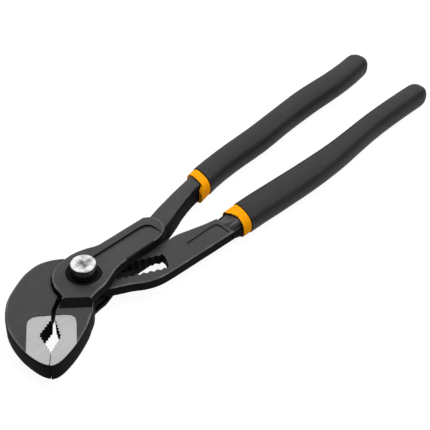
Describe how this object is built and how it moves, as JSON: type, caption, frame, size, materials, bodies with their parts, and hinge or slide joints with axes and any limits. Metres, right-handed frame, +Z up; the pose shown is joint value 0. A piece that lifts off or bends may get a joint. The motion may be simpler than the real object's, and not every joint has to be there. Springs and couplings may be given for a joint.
{
  "type": "water pump pliers",
  "caption": "Push-button water pump pliers with a toothed adjusting slot, curved pipe jaws and two-layer sleeved handles.",
  "frame": {"origin": "middle of the bounding box, on the plane the rear cheek lies on", "axes": "+X from the jaws towards the handle ends, +Y towards the upper handle, +Z up through the bolt towards the button"},
  "size_m": [0.253, 0.0704, 0.0185],
  "materials": {
    "black_steel": "satin black on forged steel, ground bright beside the gripping faces",
    "bright_steel": "turned and polished",
    "spring_steel": "drawn wire",
    "orange_vinyl": "satin",
    "black_vinyl": "satin"
  },
  "bodies": {
    "box_side": {"box_limb": "black_steel", "upper_grip_core": "orange_vinyl", "upper_grip_cover": "black_vinyl"},
    "pivot": {"button_spring": "spring_steel"},
    "slotted_side": {"slotted_limb": "black_steel", "lower_grip_core": "orange_vinyl", "lower_grip_cover": "black_vinyl"},
    "button": {"push_button": "bright_steel", "pivot_bolt": "bright_steel"}
  },
  "joints": [
    {"name": "jaw_pivot", "type": "hinge", "parent": "box_side", "child": "pivot", "pos_m": [-0.08303, -0.00361, 0.00665], "axis": [0, 0, -1], "range_deg": [0, 30]},
    {"name": "slot_adjust", "type": "slide", "parent": "pivot", "child": "slotted_side", "axis": [-0.9171, 0.3987, 0], "range_m": [0, 0.0183]},
    {"name": "button_press", "type": "slide", "parent": "pivot", "child": "button", "axis": [0, 0, -1], "range_m": [0, 0.0024], "stiffness_N_per_m": 1500, "springref_m": -0.003, "deforming": ["button_spring"]}
  ]
}
